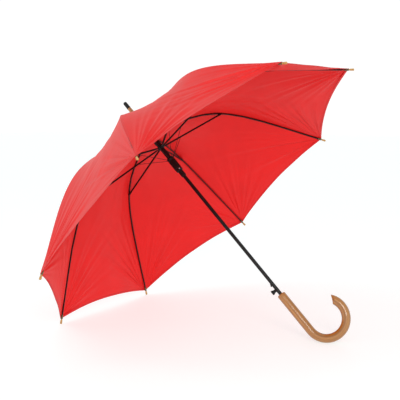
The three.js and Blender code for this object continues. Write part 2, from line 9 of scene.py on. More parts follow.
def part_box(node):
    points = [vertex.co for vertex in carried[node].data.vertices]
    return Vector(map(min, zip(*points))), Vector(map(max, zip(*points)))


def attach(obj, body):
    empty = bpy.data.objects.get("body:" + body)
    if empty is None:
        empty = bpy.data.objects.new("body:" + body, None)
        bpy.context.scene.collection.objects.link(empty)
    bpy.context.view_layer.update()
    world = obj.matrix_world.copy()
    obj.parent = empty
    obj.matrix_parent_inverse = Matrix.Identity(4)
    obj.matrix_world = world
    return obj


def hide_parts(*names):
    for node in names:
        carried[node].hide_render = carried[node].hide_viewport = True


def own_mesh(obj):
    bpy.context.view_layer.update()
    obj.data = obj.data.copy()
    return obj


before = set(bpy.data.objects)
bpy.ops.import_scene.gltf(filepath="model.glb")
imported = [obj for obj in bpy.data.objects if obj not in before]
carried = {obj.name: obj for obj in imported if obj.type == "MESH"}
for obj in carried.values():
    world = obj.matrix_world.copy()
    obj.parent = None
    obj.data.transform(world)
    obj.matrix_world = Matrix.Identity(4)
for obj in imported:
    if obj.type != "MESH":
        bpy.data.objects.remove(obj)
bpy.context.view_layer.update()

# Driving dimensions, the same as the frame's own, in millimetres
MM = 0.001
RIBS = 8
STEP = 2 * math.pi / RIBS
TIP_RADIUS = 520
NOTCH_HEIGHT = 248.2
ELBOW_RADIUS = 258.3
ELBOW_HEIGHT = 220.9
HINGE_RADIUS = 8.5
SHAFT_RADIUS = 4.7
BORE_RADIUS = 3.9
FERRULE_END = 367.6
CAP_BASE = 345.5
HANDLE_TOP = -324.4
CROOK_HEIGHT = -442.4
CROOK_RADIUS = 49.7
CROOK_TURN = math.radians(204)
BEVEL_TURN = math.radians(14)
HANDLE_RADIUS = 11.2
CATCH_HEIGHT = -294.4
BUTTON_HEIGHT = -308.4
STEM_HALF = 4
STEM_SIDE = 1.7
TOOTH_HALF = 1.2
TOOTH_RISE = 9
TOOTH_TOP = CATCH_HEIGHT + TOOTH_RISE
GAP = 0.35
SHAFT_IN_HANDLE = 40
SHAFT_PAST_NOTCH = 44
SHAFT_LOW = HANDLE_TOP - SHAFT_IN_HANDLE
SHAFT_HIGH = NOTCH_HEIGHT + SHAFT_PAST_NOTCH
SLOPE_NOTCH = -0.076
SLOPE_ELBOW = -0.45
SLOPE_TIP = -0.9
REST_SPOKE = 5.5
LEAN = math.radians(45.1)
# How far a rib folds, and how far a gore turns for each degree of that
RIB_FOLD = math.radians(62.7)
PANEL_FOLD_RATIO = 0.955
# Faces that meet at more than this many degrees show a sharp edge
SHARP_ANGLE = 35

rng = np.random.default_rng(7)

# From the upright drawing to the place where the frame's shaft stands
lean_over = (Matrix.Rotation(LEAN - math.pi / 2, 4, "Y")
             @ Matrix.Rotation(REST_SPOKE * STEP + math.pi, 4, "Z"))
shaft_low, shaft_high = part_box("shaft")
shaft_middle = lean_over @ Vector((0, 0, (SHAFT_LOW + SHAFT_HIGH) / 2 * MM))
UPRIGHT = Matrix.Translation((shaft_low + shaft_high) / 2 - shaft_middle) @ lean_over


def spoke_place(spoke):
    """The upright drawing turned so that its X axis lies along a spoke."""
    return UPRIGHT @ Matrix.Rotation(-spoke * STEP, 4, "Z")


def put(name, data):
    """A new object in the scene."""
    made = bpy.data.objects.new(name, data)
    bpy.context.scene.collection.objects.link(made)
    return made


# Camera ---------------------------------------------------------------------------------------

AIM = UPRIGHT.translation + Vector((-0.0011, -0.0175, 0.0014658))
CAMERA_DISTANCE = 2.0944
CAMERA_AZIMUTH = math.radians(32.255)
CAMERA_ELEVATION = math.radians(6.588)
CAMERA_ROLL = math.radians(-0.545)
CAMERA_LENS = 71.14
SENSOR_WIDTH = 36

camera_data = bpy.data.cameras.new("camera")
camera_data.lens = CAMERA_LENS
camera_data.sensor_width = SENSOR_WIDTH
camera = put("camera", camera_data)
back = Vector((
    math.sin(CAMERA_AZIMUTH) * math.cos(CAMERA_ELEVATION),
    -math.cos(CAMERA_AZIMUTH) * math.cos(CAMERA_ELEVATION),
    math.sin(CAMERA_ELEVATION)))
facing = back.to_track_quat("Z", "Y").to_matrix().to_4x4()
camera.matrix_world = (
    Matrix.Translation(AIM + back * CAMERA_DISTANCE) @ facing
    @ Matrix.Rotation(CAMERA_ROLL, 4, "Z"))
bpy.context.scene.camera = camera


# Materials ------------------------------------------------------------------------------------

def linear(red, green, blue):
    """A colour from 0 to 255 as the shaders take it."""
    def channel(c):
        c /= 255
        return c / 12.92 if c <= 0.04045 else ((c + 0.055) / 1.055) ** 2.4
    return (channel(red), channel(green), channel(blue), 1)


class Paint:
    """A node material that is built up a node at a time."""

    def __init__(self, name, **settings):
        self.material = bpy.data.materials.new(name)
        self.material.use_nodes = True
        self.nodes = self.material.node_tree.nodes
        self.links = self.material.node_tree.links
        self.shader = self.nodes["Principled BSDF"]
        self.output = self.nodes["Material Output"]
        for socket, value in settings.items():
            self.shader.inputs[socket.replace("_", " ")].default_value = value

    def add(self, kind, inputs=(), **properties):
        """A node. An input is a value, or the socket that feeds it."""
        node = self.nodes.new("ShaderNode" + kind)
        for key, value in properties.items():
            setattr(node, key, value)
        for socket, value in dict(inputs).items():
            if isinstance(value, bpy.types.NodeSocket):
                self.links.new(value, node.inputs[socket])
            else:
                node.inputs[socket].default_value = value
        return node

    def place(self, scale=(1, 1, 1), attribute=None):
        """Coordinates in metres, stretched: the piece's own, or a vector stored on its points."""
        if attribute:
            source = self.add("Attribute", attribute_name=attribute).outputs["Vector"]
        else:
            source = self.add("TexCoord").outputs["Object"]
        return self.add("Mapping", {"Vector": source, "Scale": scale}).outputs["Vector"]

    def noise(self, vector, scale, detail=4, roughness=0.55):
        inputs = {"Vector": vector, "Scale": scale, "Detail": detail, "Roughness": roughness}
        return self.add("TexNoise", inputs).outputs["Fac"]

    def waves(self, vector, scale, direction, distortion):
        inputs = {"Vector": vector, "Scale": scale, "Distortion": distortion}
        return self.add("TexWave", inputs, bands_direction=direction).outputs["Fac"]

    def ramp(self, value, *stops):
        """A colour that runs through stops of position and colour."""
        node = self.add("ValToRGB", {"Fac": value})
        marks = node.color_ramp.elements
        while len(marks) < len(stops):
            marks.new(0.5)
        for mark, (position, colour) in zip(marks, stops):
            mark.position = position
            mark.color = colour
        return node.outputs["Color"]

    def mix(self, share, first, second, way="MIX"):
        inputs = {0: share, 6: first, 7: second}
        return self.add("Mix", inputs, data_type="RGBA", blend_type=way).outputs[2]

    def fit(self, value, low, high):
        """A value from 0 to 1, spread from low to high."""
        inputs = {"Value": value, "To Min": low, "To Max": high}
        return self.add("MapRange", inputs).outputs["Result"]

    def combine(self, first, second, way):
        return self.add("Math", {0: first, 1: second}, operation=way).outputs["Value"]

    def bump(self, height, depth, strength):
        inputs = {"Height": height, "Distance": depth, "Strength": strength}
        return self.add("Bump", inputs).outputs["Normal"]

    def wire(self, **sockets):
        """Links values to the shader's own inputs."""
        for socket, value in sockets.items():
            self.links.new(value, self.shader.inputs[socket.replace("_", " ")])
        return self


def grey(value):
    return (value, value, value, 1)


def black_steel(name, base, roughness):
    """Black lacquer over steel: faint drawing marks and slight orange peel."""
    paint = Paint(name, Metallic=0.0, Specular_IOR_Level=0.22)
    where = paint.place()
    peel = paint.noise(where, 900, 2)
    patches = paint.noise(where, 55, 5)
    worn = linear(*[c + 9 for c in base])
    return paint.wire(
        Base_Color=paint.ramp(patches, (0.3, linear(*base)), (0.75, worn)),
        Roughness=paint.fit(patches, roughness - 0.07, roughness + 0.1),
        Normal=paint.bump(peel, 0.00006, 0.4)).material


def black_plastic():
    """Moulded black plastic, a little shiny, with a fine eroded grain."""
    paint = Paint("black_plastic", Specular_IOR_Level=0.24)
    where = paint.place()
    grain = paint.noise(where, 1400, 3)
    patches = paint.noise(where, 90, 4)
    return paint.wire(
        Base_Color=paint.ramp(patches, (0.3, linear(12, 12, 13)), (0.8, linear(24, 24, 25))),
        Roughness=paint.fit(patches, 0.3, 0.48),
        Normal=paint.bump(grain, 0.00008, 0.5)).material


def polished_wood(name, light, middle, dark):
    """Varnished wood: long pores and streaks run along the stored grain direction."""
    paint = Paint(name, Coat_Weight=1.0, Coat_Roughness=0.05, Specular_IOR_Level=0.5)
    streaks = paint.noise(paint.place((260, 260, 9), "grain"), 1, 5, 0.6)
    pores = paint.noise(paint.place((1500, 1500, 60), "grain"), 1, 3, 0.7)
    figure = paint.noise(paint.place((45, 45, 11), "grain"), 1, 3, 0.5)
    base = paint.ramp(
        streaks, (0.28, linear(*dark)), (0.5, linear(*middle)), (0.75, linear(*light)))
    figure_shade = paint.ramp(figure, (0.35, grey(0.62)), (0.7, grey(1.0)))
    shaded = paint.mix(0.35, base, figure_shade, "MULTIPLY")
    pore_shade = paint.ramp(pores, (0.34, grey(0.45)), (0.46, grey(1.0)))
    spotted = paint.mix(0.3, shaded, pore_shade, "MULTIPLY")
    return paint.wire(
        Base_Color=spotted,
        Roughness=paint.fit(streaks, 0.3, 0.48),
        Normal=paint.bump(pores, 0.00008, 0.35)).material


def tip_plastic(name, light, dark):
    """Moulded tip: mottled, worn a little paler where it rubs."""
    paint = Paint(name, Specular_IOR_Level=0.5, Coat_Weight=0.25)
    where = paint.place()
    mottle = paint.noise(where, 260, 5, 0.65)
    fine = paint.noise(where, 1800, 3)
    return paint.wire(
        Base_Color=paint.ramp(mottle, (0.3, linear(*dark)), (0.7, linear(*light))),
        Roughness=paint.fit(mottle, 0.32, 0.5),
        Normal=paint.bump(fine, 0.00008, 0.4)).material


def bright_steel(name, roughness):
    """Bare steel with a faint brushed grain."""
    paint = Paint(name, Metallic=1.0)
    brushed = paint.noise(paint.place((1, 1, 6)), 700, 3)
    return paint.wire(
        Base_Color=paint.ramp(brushed, (0.3, linear(150, 151, 153)), (0.7, linear(205, 206, 208))),
        Roughness=paint.fit(brushed, roughness - 0.06, roughness + 0.08),
        Normal=paint.bump(brushed, 0.00003, 0.5)).material


SEAM_RED = (150, 8, 14)


def fabric(name, base, share_through):
    """Plain-weave umbrella cloth. It shines softly, and light from behind glows through it.
    The stored cloth vector is the place on the flat gore in metres, and its third number is 1
    where the cloth lies double."""
    paint = Paint(
        name, Specular_IOR_Level=0.32, Sheen_Weight=0.03, Sheen_Roughness=0.4,
        Sheen_Tint=linear(255, 190, 150))
    cloth = paint.place(attribute="cloth")
    warp = paint.waves(cloth, 700, "X", 0.4)
    weft = paint.waves(cloth, 700, "Y", 0.4)
    weave = paint.combine(warp, weft, "MULTIPLY")
    slubs = paint.noise(paint.place((60, 1400, 1), "cloth"), 1, 3, 0.6)
    mottle = paint.noise(paint.place((1, 1, 0), "cloth"), 14, 4, 0.5)
    double = paint.add("SeparateXYZ", {"Vector": cloth}).outputs["Z"]
    darker = linear(*[c * 0.97 for c in base])
    lighter = linear(*[min(255, c * 1.02) for c in base])
    plain = paint.ramp(mottle, (0.25, darker), (0.8, lighter))
    slub_shade = paint.ramp(slubs, (0.3, grey(0.75)), (0.7, grey(1.0)))
    threads = paint.mix(0.12, plain, slub_shade, "MULTIPLY")
    doubled = paint.combine(double, 0.08, "MULTIPLY")
    colour = paint.mix(doubled, threads, linear(*SEAM_RED))
    relief = paint.bump(weave, 0.00005, 0.35)
    paint.wire(
        Base_Color=colour,
        Roughness=paint.fit(mottle, 0.4, 0.5),
        Normal=relief)
    glow = paint.add("BsdfTranslucent", {"Color": colour, "Normal": relief})
    blocked = paint.combine(double, 0.5 * share_through, "MULTIPLY")
    through = paint.combine(share_through, blocked, "SUBTRACT")
    both = paint.add("MixShader", {0: through, 1: paint.shader.outputs[0], 2: glow.outputs[0]})
    paint.links.new(both.outputs[0], paint.output.inputs["Surface"])
    return paint.material


STEEL = black_steel("black_steel", (12, 12, 13), 0.34)
SHAFT_STEEL = black_steel("shaft_steel", (13, 13, 14), 0.3)
WIRE_STEEL = black_steel("wire_steel", (22, 17, 17), 0.34)
PLASTIC = black_plastic()
WOOD = polished_wood("handle_wood", (198, 140, 64), (168, 110, 40), (124, 78, 22))
FERRULE_WOOD = polished_wood("ferrule_wood", (194, 136, 66), (160, 104, 40), (108, 66, 20))
TIP_GOLD = tip_plastic("tip_tan", (206, 158, 84), (158, 112, 50))
TIP_OLIVE = tip_plastic("tip_olive", (104, 88, 44), (64, 52, 26))
SPRING = bright_steel("spring_steel", 0.34)
SILVER = bright_steel("rivet_silver", 0.24)
CLOTH = fabric("canopy_cloth", (228, 20, 20), 0.12)
HEM_CLOTH = fabric("hem_cloth", (220, 18, 22), 0.07)


# Mesh building --------------------------------------------------------------------------------

def piece(name, points, faces, material, place=UPRIGHT, sharp=SHARP_ANGLE, **stored):
    """A mesh piece from points in upright millimetres. Stored vectors go onto its points."""
    mesh = bpy.data.meshes.new(name)
    world = [place @ (Vector(p) * MM) for p in points]
    mesh.from_pydata(world, [], faces)
    for one in (material if isinstance(material, list) else [material]):
        mesh.materials.append(one)
    mesh.polygons.foreach_set("use_smooth", [True] * len(mesh.polygons))
    mesh.set_sharp_from_angle(angle=math.radians(sharp))
    for key, values in stored.items():
        held = mesh.attributes.new(key, "FLOAT_VECTOR", "POINT")
        held.data.foreach_set("vector", np.asarray(values, np.float32).ravel())
    mesh.validate()
    return put(name, mesh)


def skin(rings, loop=False):
    """Points and faces of a skin through rings that all have the same count. It's closed at both
    ends, or a loop whose last ring joins its first."""
    count = len(rings[0])
    points = [p for ring in rings for p in ring]
    faces = []
    spans = len(rings) if loop else len(rings) - 1
    for r in range(spans):
        a, b = r * count, (r + 1) % len(rings) * count
        for i in range(count):
            j = (i + 1) % count
            faces.append((a + i, a + j, b + j, b + i))
    if not loop:
        faces.append(tuple(range(count))[::-1])
        faces.append(tuple((len(rings) - 1) * count + i for i in range(count)))
    return points, faces


def outward(made):
    """Turns every face of a closed piece to point out."""
    work = bmesh.new()
    work.from_mesh(made.data)
    bmesh.ops.recalc_face_normals(work, faces=work.faces)
    work.to_mesh(made.data)
    work.free()
    return made


def rounded(profile, size, steps=3):
    """An outline with each inner corner of it rounded off."""
    out = [Vector(profile[0])]
    for before, corner, after in zip(profile, profile[1:], profile[2:]):
        before, corner, after = Vector(before), Vector(corner), Vector(after)
        reach = min(size, (before - corner).length * 0.45, (after - corner).length * 0.45)
        first = corner + (before - corner).normalized() * reach
        last = corner + (after - corner).normalized() * reach
        for i in range(steps + 1):
            t = i / steps
            out.append(first * (1 - t) ** 2 + corner * 2 * t * (1 - t) + last * t * t)
    return out + [Vector(profile[-1])]


# The least radius that a turned piece is drawn with
AXIS_RADIUS = 0.02


def turned(name, profile, material, place=UPRIGHT, sides=40, closed=False, flute=None, grain=False):
    """A turned piece about Z from [radius, height] pairs. Closed means the outline is a loop. A
    flute adds to the radius, and grain stores each point for the wood."""
    rings = []
    for radius, height in profile:
        radius = max(radius, AXIS_RADIUS)
        ring = []
        for i in range(sides):
            angle = 2 * math.pi * i / sides
            here = radius + (flute(angle, height, radius) if flute else 0)
            ring.append((here * math.cos(angle), here * math.sin(angle), height))
        rings.append(ring)
    points, faces = skin(rings, loop=closed)
    stored = {"grain": [[c * MM for c in p] for p in points]} if grain else {}
    return outward(piece(name, points, faces, material, place, **stored))


def standing(made, body, slot, *nodes):
    """The body a piece rides on, and the nodes that it stands for. The slot is not used."""
    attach(made, body)
    if nodes:
        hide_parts(*nodes)


# The curve of a rib ---------------------------------------------------------------------------

def span_height(t, width, h0, h1, slope0, slope1):
    """Height along a cubic span, from its two end heights and slopes."""
    rise = h0 * (1 + 2 * t) * (1 - t) ** 2 + h1 * t * t * (3 - 2 * t)
    return rise + width * (slope0 * t * (1 - t) ** 2 - slope1 * t * t * (1 - t))


def rib_height(radius):
    """Height of a rib's centre line: one span out to the elbow and one from there to the tip."""
    inner, outer = ELBOW_RADIUS - HINGE_RADIUS, TIP_RADIUS - ELBOW_RADIUS
    near = span_height(
        (radius - HINGE_RADIUS) / inner, inner, NOTCH_HEIGHT, ELBOW_HEIGHT,
        SLOPE_NOTCH, SLOPE_ELBOW)
    far = span_height(
        (radius - ELBOW_RADIUS) / outer, outer, ELBOW_HEIGHT, 0, SLOPE_ELBOW, SLOPE_TIP)
    return np.where(radius < ELBOW_RADIUS, near, far)


def beside_rib(radius, offset):
    """Radius and height of points square above the rib's centre line."""
    slope = rib_height(radius + 0.5) - rib_height(radius - 0.5)
    length = np.hypot(1, slope)
    return radius - offset * slope / length, rib_height(radius) + offset / length


# Canopy ---------------------------------------------------------------------------------------

CANOPY_HOLE = 9
CORNER_RADIUS = 510
HEM_HOLLOW = 14
PANEL_SAG = 13
SAG_SHAPE = 1.1
SAG_INWARD = 0.4
# The cloth's height over the rib, and over its outer end where the height changes
CLOTH_LIFT = 2.3
CORNER_LIFT = 3.5
LIFT_START = 470
LIFT_RUN = 30
ROWS = 110
COLUMNS = 96
# Rows crowd towards the hem by this power, and columns towards the seams by these shares
ROW_CROWDING = 1.35
SEAM_CROWDING = 0.62
EVEN_SPACING = 0.38
SEAM_ALLOWANCE = 6.5
SEAM_EDGE = 0.8
HEM_WIDTH = 6
HEM_THICKNESS = 0.45
HEM_CLEARANCE = 0.12
HEM_FOLD = 0.4
# The hem narrows over this many columns at each end, down to this share
HEM_TAPER = 4
HEM_LEAST = 0.25
# Creases at a corner: waves across the fan and their sizes, the reach and the height
CREASES = ((15, 0.9), (26, 0.9), (37, 0.75), (53, 0.5))
CREASE_REACH = 52
CREASE_HEIGHT = 1.7
GORE_LENGTH = 560
# Long wrinkles from hub to hem: waves across the gore and their sizes
PULLS = ((5, 0.7), (9, 0.45), (14, 0.3), (23, 0.18))
PULL_HEIGHT = 0.7
BILLOWS = (2, 3, 5, 7)
BILLOW_HEIGHT = 2.2
HUB_PUCKERS = 26
HUB_PUCKER_HEIGHT = 0.35
HUB_PUCKER_FADE = 9
# Wrinkles die out towards a seam by this power
SEAM_FADE = 0.35
# How far a gore turns when the umbrella is folded
GORE_FOLD = RIB_FOLD * PANEL_FOLD_RATIO
# Radii where a gore is divided, closest together where folding narrows it fastest
COURSE_ENDS = [60, 120, 170, 215, 250, *np.linspace(250, CORNER_RADIUS, 14)[1:]]
# The first course's width is reckoned from here, and a course's inner end counts this much
FIRST_COURSE_START = 35
INNER_WEIGHT = 0.75


def folded_share(radius):
    """How much of its width the cloth at a radius keeps when the umbrella is folded."""
    x, z = beside_rib(radius, CLOTH_LIFT)
    reach = x * math.cos(STEP / 2) - HINGE_RADIUS
    drop = NOTCH_HEIGHT - z
    folded = HINGE_RADIUS + reach * math.cos(GORE_FOLD) - drop * math.sin(GORE_FOLD)
    return float(folded * math.tan(STEP / 2) / (x * math.sin(STEP / 2)))


def course_keeps():
    """One share for each course, nearer to what its inner end needs. Folded, a course is a few
    millimetres too wide at its outer end, so the seams are stepped."""
    starts = [FIRST_COURSE_START, *COURSE_ENDS[:-1]]
    return [
        INNER_WEIGHT * folded_share(start) + (1 - INNER_WEIGHT) * folded_share(end)
        for start, end in zip(starts, COURSE_ENDS)]


COURSES = list(zip(COURSE_ENDS, course_keeps()))


def gore_surface(along, across):
    """The cloth between two ribs, without its wrinkles, in the frame of the spoke between them."""
    outer = CORNER_RADIUS - HEM_HOLLOW * (1 - across ** 2)
    radius = CANOPY_HOLE + (outer - CANOPY_HOLE) * along
    lifted = np.clip((radius - LIFT_START) / LIFT_RUN, 0, 1)
    lift = CLOTH_LIFT + (CORNER_LIFT - CLOTH_LIFT) * lifted
    x, z = beside_rib(radius, lift)
    sag = PANEL_SAG * np.sin(np.pi * along ** SAG_SHAPE) * (1 - across ** 2)
    return np.stack([
        x * math.cos(STEP / 2) - SAG_INWARD * sag, x * math.sin(STEP / 2) * across, z - sag], -1)


def normals_of(points):
    """Unit normals of a grid of points."""
    down = np.gradient(points, axis=0)
    side = np.gradient(points, axis=1)
    normal = np.cross(down, side)
    return normal / np.linalg.norm(normal, axis=-1, keepdims=True)


def corner_creases(along, across, side, phases):
    """Fine creases that fan out from the corner where the cloth is tied to a rib tip."""
    down = (1 - along) * GORE_LENGTH
    half = (CANOPY_HOLE + (CORNER_RADIUS - CANOPY_HOLE) * along) * math.sin(STEP / 2)
    out = (1 - side * across) * half
    reach = np.hypot(down, out)
    angle = np.arctan2(out, down + 1e-6)
    fan = np.zeros_like(reach)
    for turn, (count, size) in zip(phases, CREASES):
        fan += size * np.sin(count * angle + turn + 0.9 * np.sin(3 * angle + turn))
    window = np.clip(np.sin(2 * np.clip(angle, 0, np.pi / 2)), 0, 1) ** 0.6
    near = (reach / CREASE_REACH) * np.exp(1 - reach / CREASE_REACH)
    return CREASE_HEIGHT * fan * window * near


def wrinkles(along, across):
    """How far the cloth stands off its smooth surface. Each gore draws its own."""
    phases = rng.uniform(0, 2 * np.pi, (4, 6))
    high = (corner_creases(along, across, 1, phases[0])
            + corner_creases(along, across, -1, phases[1]))
    width = 1 - across ** 2
    pulled = np.zeros_like(high)
    for (count, size), turn in zip(PULLS, phases[2]):
        pulled += size * np.sin(count * across + turn + 0.5 * np.sin(4 * along + turn))
    billow = np.zeros_like(high)
    for count, turn, other in zip(BILLOWS, phases[3], phases[2]):
        billow += np.sin(count * 2.1 * along + turn) * np.sin(count * 1.7 * across + other) / count
    puckers = np.sin(HUB_PUCKERS * across + phases[3][5])
    hub = HUB_PUCKER_HEIGHT * puckers * np.exp(-along * HUB_PUCKER_FADE)
    pulls = pulled * np.sin(np.pi * along) * PULL_HEIGHT
    return (high + pulls + BILLOW_HEIGHT * billow * along + hub) * width ** SEAM_FADE


row_shares = np.linspace(0, 1, ROWS + 1)
row_shares = 1 - (1 - row_shares) ** ROW_CROWDING
radii = CANOPY_HOLE + (CORNER_RADIUS - CANOPY_HOLE) * row_shares
column_shares = np.linspace(-1, 1, COLUMNS + 1)
column_shares = (SEAM_CROWDING * np.sin(column_shares * np.pi / 2)
                 + EVEN_SPACING * column_shares)
# The row nearest to each radius where a gore is divided
breaks = [0] + [int(np.argmin(abs(radii - limit))) for limit, _ in COURSES]


def lengths_down(points):
    """Distance along the middle of the gore from the hub, for each row."""
    middle = points[:, points.shape[1] // 2]
    steps = np.linalg.norm(np.diff(middle, axis=0), axis=1)
    return np.concatenate([[0], np.cumsum(steps)])


def grid_faces(rows, columns):
    """Faces of a grid of points, row by row."""
    faces = []
    for i in range(rows - 1):
        for j in range(columns - 1):
            a = i * columns + j
            faces.append((a, a + columns, a + columns + 1, a + 1))
    return faces


def gore(number):
    """The cloth between ribs number and number + 1, as courses from the hub out, with its hem."""
    along, across = np.meshgrid(row_shares, column_shares, indexing="ij")
    smooth = gore_surface(along, across)
    points = smooth + normals_of(smooth) * wrinkles(along, across)[..., None]
    normals = normals_of(points)
    down = lengths_down(smooth)
    half = smooth[:, -1, 1]
    to_seam = (1 - abs(across)) * half[:, None]
    double = np.clip((SEAM_ALLOWANCE - to_seam) / SEAM_EDGE, 0, 1)
    cloth = np.stack([
        smooth[..., 1] * MM, np.broadcast_to(down[:, None], across.shape) * MM, double], -1)
    place = spoke_place(number + 0.5)
    turn = place.to_3x3()
    for part, (_, keep) in enumerate(COURSES):
        first, last = breaks[part], breaks[part + 1]
        rows = slice(first, last + 1)
        made = piece(
            f"canopy_gore_{number}_{part + 1}", points[rows].reshape(-1, 3),
            grid_faces(last + 1 - first, COLUMNS + 1), CLOTH, place, 180,
            cloth=cloth[rows].reshape(-1, 3))
        made.data.normals_split_custom_set_from_vertices(
            [turn @ Vector(n) for n in normals[rows].reshape(-1, 3)])
        standing(made, f"panel_{number}", "canopy", f"canopy_panel_{number}")
        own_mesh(made)
    hem(number, points[-1], normals[-1], place)


def hem(number, edge, normals, place):
    """The cloth's edge turned under twice and stitched: a flat strip along the hem."""
    run = np.gradient(edge, axis=0)
    run /= np.linalg.norm(run, axis=1, keepdims=True)
    inward = np.cross(run, normals)
    if inward[len(edge) // 2][0] > 0:
        inward = -inward
    from_start = np.arange(len(edge))
    from_end = len(edge) - 1 - from_start
    share = np.clip(np.minimum(from_start, from_end) / HEM_TAPER, HEM_LEAST, 1)
    under = -1 if normals[len(edge) // 2][2] > 0 else 1
    rings = []
    for p, n, i, s in zip(edge, normals, inward, share):
        width, thick = HEM_WIDTH * s, HEM_THICKNESS
        low = p + n * under * HEM_CLEARANCE
        ring = [
            low, low + n * under * thick, low + i * width + n * under * thick,
            low + i * (width + HEM_FOLD) + n * under * thick * HEM_FOLD, low + i * width]
        rings.append([tuple(q) for q in ring])
    points, faces = skin(rings)
    cloth = [[p[1] * MM, p[0] * MM, 1] for p in points]
    made = outward(piece(f"canopy_hem_{number}", points, faces, HEM_CLOTH, place, 50, cloth=cloth))
    standing(made, f"panel_{number}", "canopy")
    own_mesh(made)


for number in range(1, RIBS + 1):
    gore(number)

# Ribs, stretchers and wires keep the frame's own shapes ----------------------------------------


def repaint(node, material):
    """A new material on one of the frame's own shapes."""
    slots = carried[node].material_slots
    for one in slots:
        one.material = material
    if not slots:
        carried[node].data.materials.append(material)


for number in range(1, RIBS + 1):
    repaint(f"rib_{number}", STEEL)
    repaint(f"stretcher_{number}", STEEL)
    repaint(f"helper_wire_{number}", WIRE_STEEL)
for node in (
        "notch_ring_wire", "runner_ring_wire", "barrel_ring_wire", "catch_spring",
        "opening_spring"):
    repaint(node, SPRING)
for node in ("top_notch", "runner_head", "runner_barrel", "barrel_collar", "release_button"):
    repaint(node, PLASTIC)
repaint("catch_tooth", STEEL)
repaint("barrel_rivet", SILVER)

# Rib tips: turned plugs with a waist, the cup that holds the rib darker than the point
TIP_LENGTH = 25
TIP_SOCKET = 10.4
TIP_CUP_START = 13
tip_profile = rounded([
    (0, 0), (2.3, 0), (3.0, 1.2), (2.6, 11.2), (1.9, 11.9), (1.9, 13.3), (2.8, 14.2),
    (2.8, TIP_LENGTH), (2.15, TIP_LENGTH), (2.15, TIP_LENGTH - TIP_SOCKET),
    (0, TIP_LENGTH - TIP_SOCKET)], 0.8)
tip_tilt = math.atan(SLOPE_TIP)
for number in range(1, RIBS + 1):
    place = (spoke_place(number) @ Matrix.Translation((TIP_RADIUS * MM, 0, 0))
             @ Matrix.Rotation(-math.pi / 2 - tip_tilt, 4, "Y"))
    made = turned(f"tip_{number}", tip_profile, [TIP_GOLD, TIP_OLIVE], place, 24)
    for face in made.data.polygons:
        local = place.inverted() @ face.center
        face.material_index = int(local.z > TIP_CUP_START * MM)
    standing(made, f"rib_{number}", "tips", f"rib_tip_{number}")

# Shaft ----------------------------------------------------------------------------------------

made = turned(
    "shaft_tube", rounded([
        (BORE_RADIUS, SHAFT_LOW), (SHAFT_RADIUS, SHAFT_LOW), (SHAFT_RADIUS, SHAFT_HIGH),
        (BORE_RADIUS, SHAFT_HIGH), (BORE_RADIUS, SHAFT_LOW)], 0.2)[:-1],
    SHAFT_STEEL, sides=48, closed=True)


BOX_FACES = (
    (3, 2, 1, 0), (4, 5, 6, 7), (0, 1, 5, 4), (1, 2, 6, 5), (2, 3, 7, 6), (3, 0, 4, 7))


def carve(made, boxes):
    """Cuts boxes out of a piece. Each is six limits and a place."""
    points, faces = [], []
    for x0, x1, y0, y1, z0, z1, place in boxes:
        start = len(points)
        points += [place @ (Vector(p) * MM) for p in (
            (x0, y0, z0), (x1, y0, z0), (x1, y1, z0), (x0, y1, z0),
            (x0, y0, z1), (x1, y0, z1), (x1, y1, z1), (x0, y1, z1))]
        for face in BOX_FACES:
            faces.append(tuple(start + i for i in face))
    mesh = bpy.data.meshes.new("cutter")
    mesh.from_pydata(points, [], faces)
    cutter = put("cutter", mesh)
    cut = made.modifiers.new("cut", "BOOLEAN")
    cut.operation, cut.solver, cut.object = "DIFFERENCE", "EXACT", cutter
    shown = made.evaluated_get(bpy.context.evaluated_depsgraph_get())
    result = bpy.data.meshes.new_from_object(shown)
    made.modifiers.clear()
    made.data = result
    result.set_sharp_from_angle(angle=math.radians(SHARP_ANGLE))
    bpy.data.objects.remove(cutter)


# Windows for the catch tooth and the push button, cut between these radii
CATCH_SPOKE = 5
WINDOW_IN, WINDOW_OUT = 2, 12
catch_place = spoke_place(CATCH_SPOKE)
carve(made, [
    (WINDOW_IN, WINDOW_OUT, -TOOTH_HALF - GAP, TOOTH_HALF + GAP,
     CATCH_HEIGHT - GAP, TOOTH_TOP + GAP, catch_place),
    (WINDOW_IN, WINDOW_OUT, -STEM_SIDE - GAP, STEM_SIDE + GAP,
     BUTTON_HEIGHT - STEM_HALF - GAP, BUTTON_HEIGHT + STEM_HALF + GAP, catch_place)])
standing(made, "stick", "shaft_steel", "shaft")

# Crook handle ---------------------------------------------------------------------------------

CROOK_SPOKE = 1
CROOK_SIDES = 40
ARC_STEPS, BEVEL_STEPS, STRAIGHT_STEPS = 72, 14, 16
# The rounded top edge: how far down, and how much narrower
TOP_EDGE = ((0, 2.2), (0.25, 1.4), (0.9, 0.45), (1.8, 0))
# How much of the section the bevel takes, as a rate and a growth, and how far it moves outward
BEVEL_RATE, BEVEL_GROWTH = 0.68, 0.25
BEVEL_SHIFT = 0.95


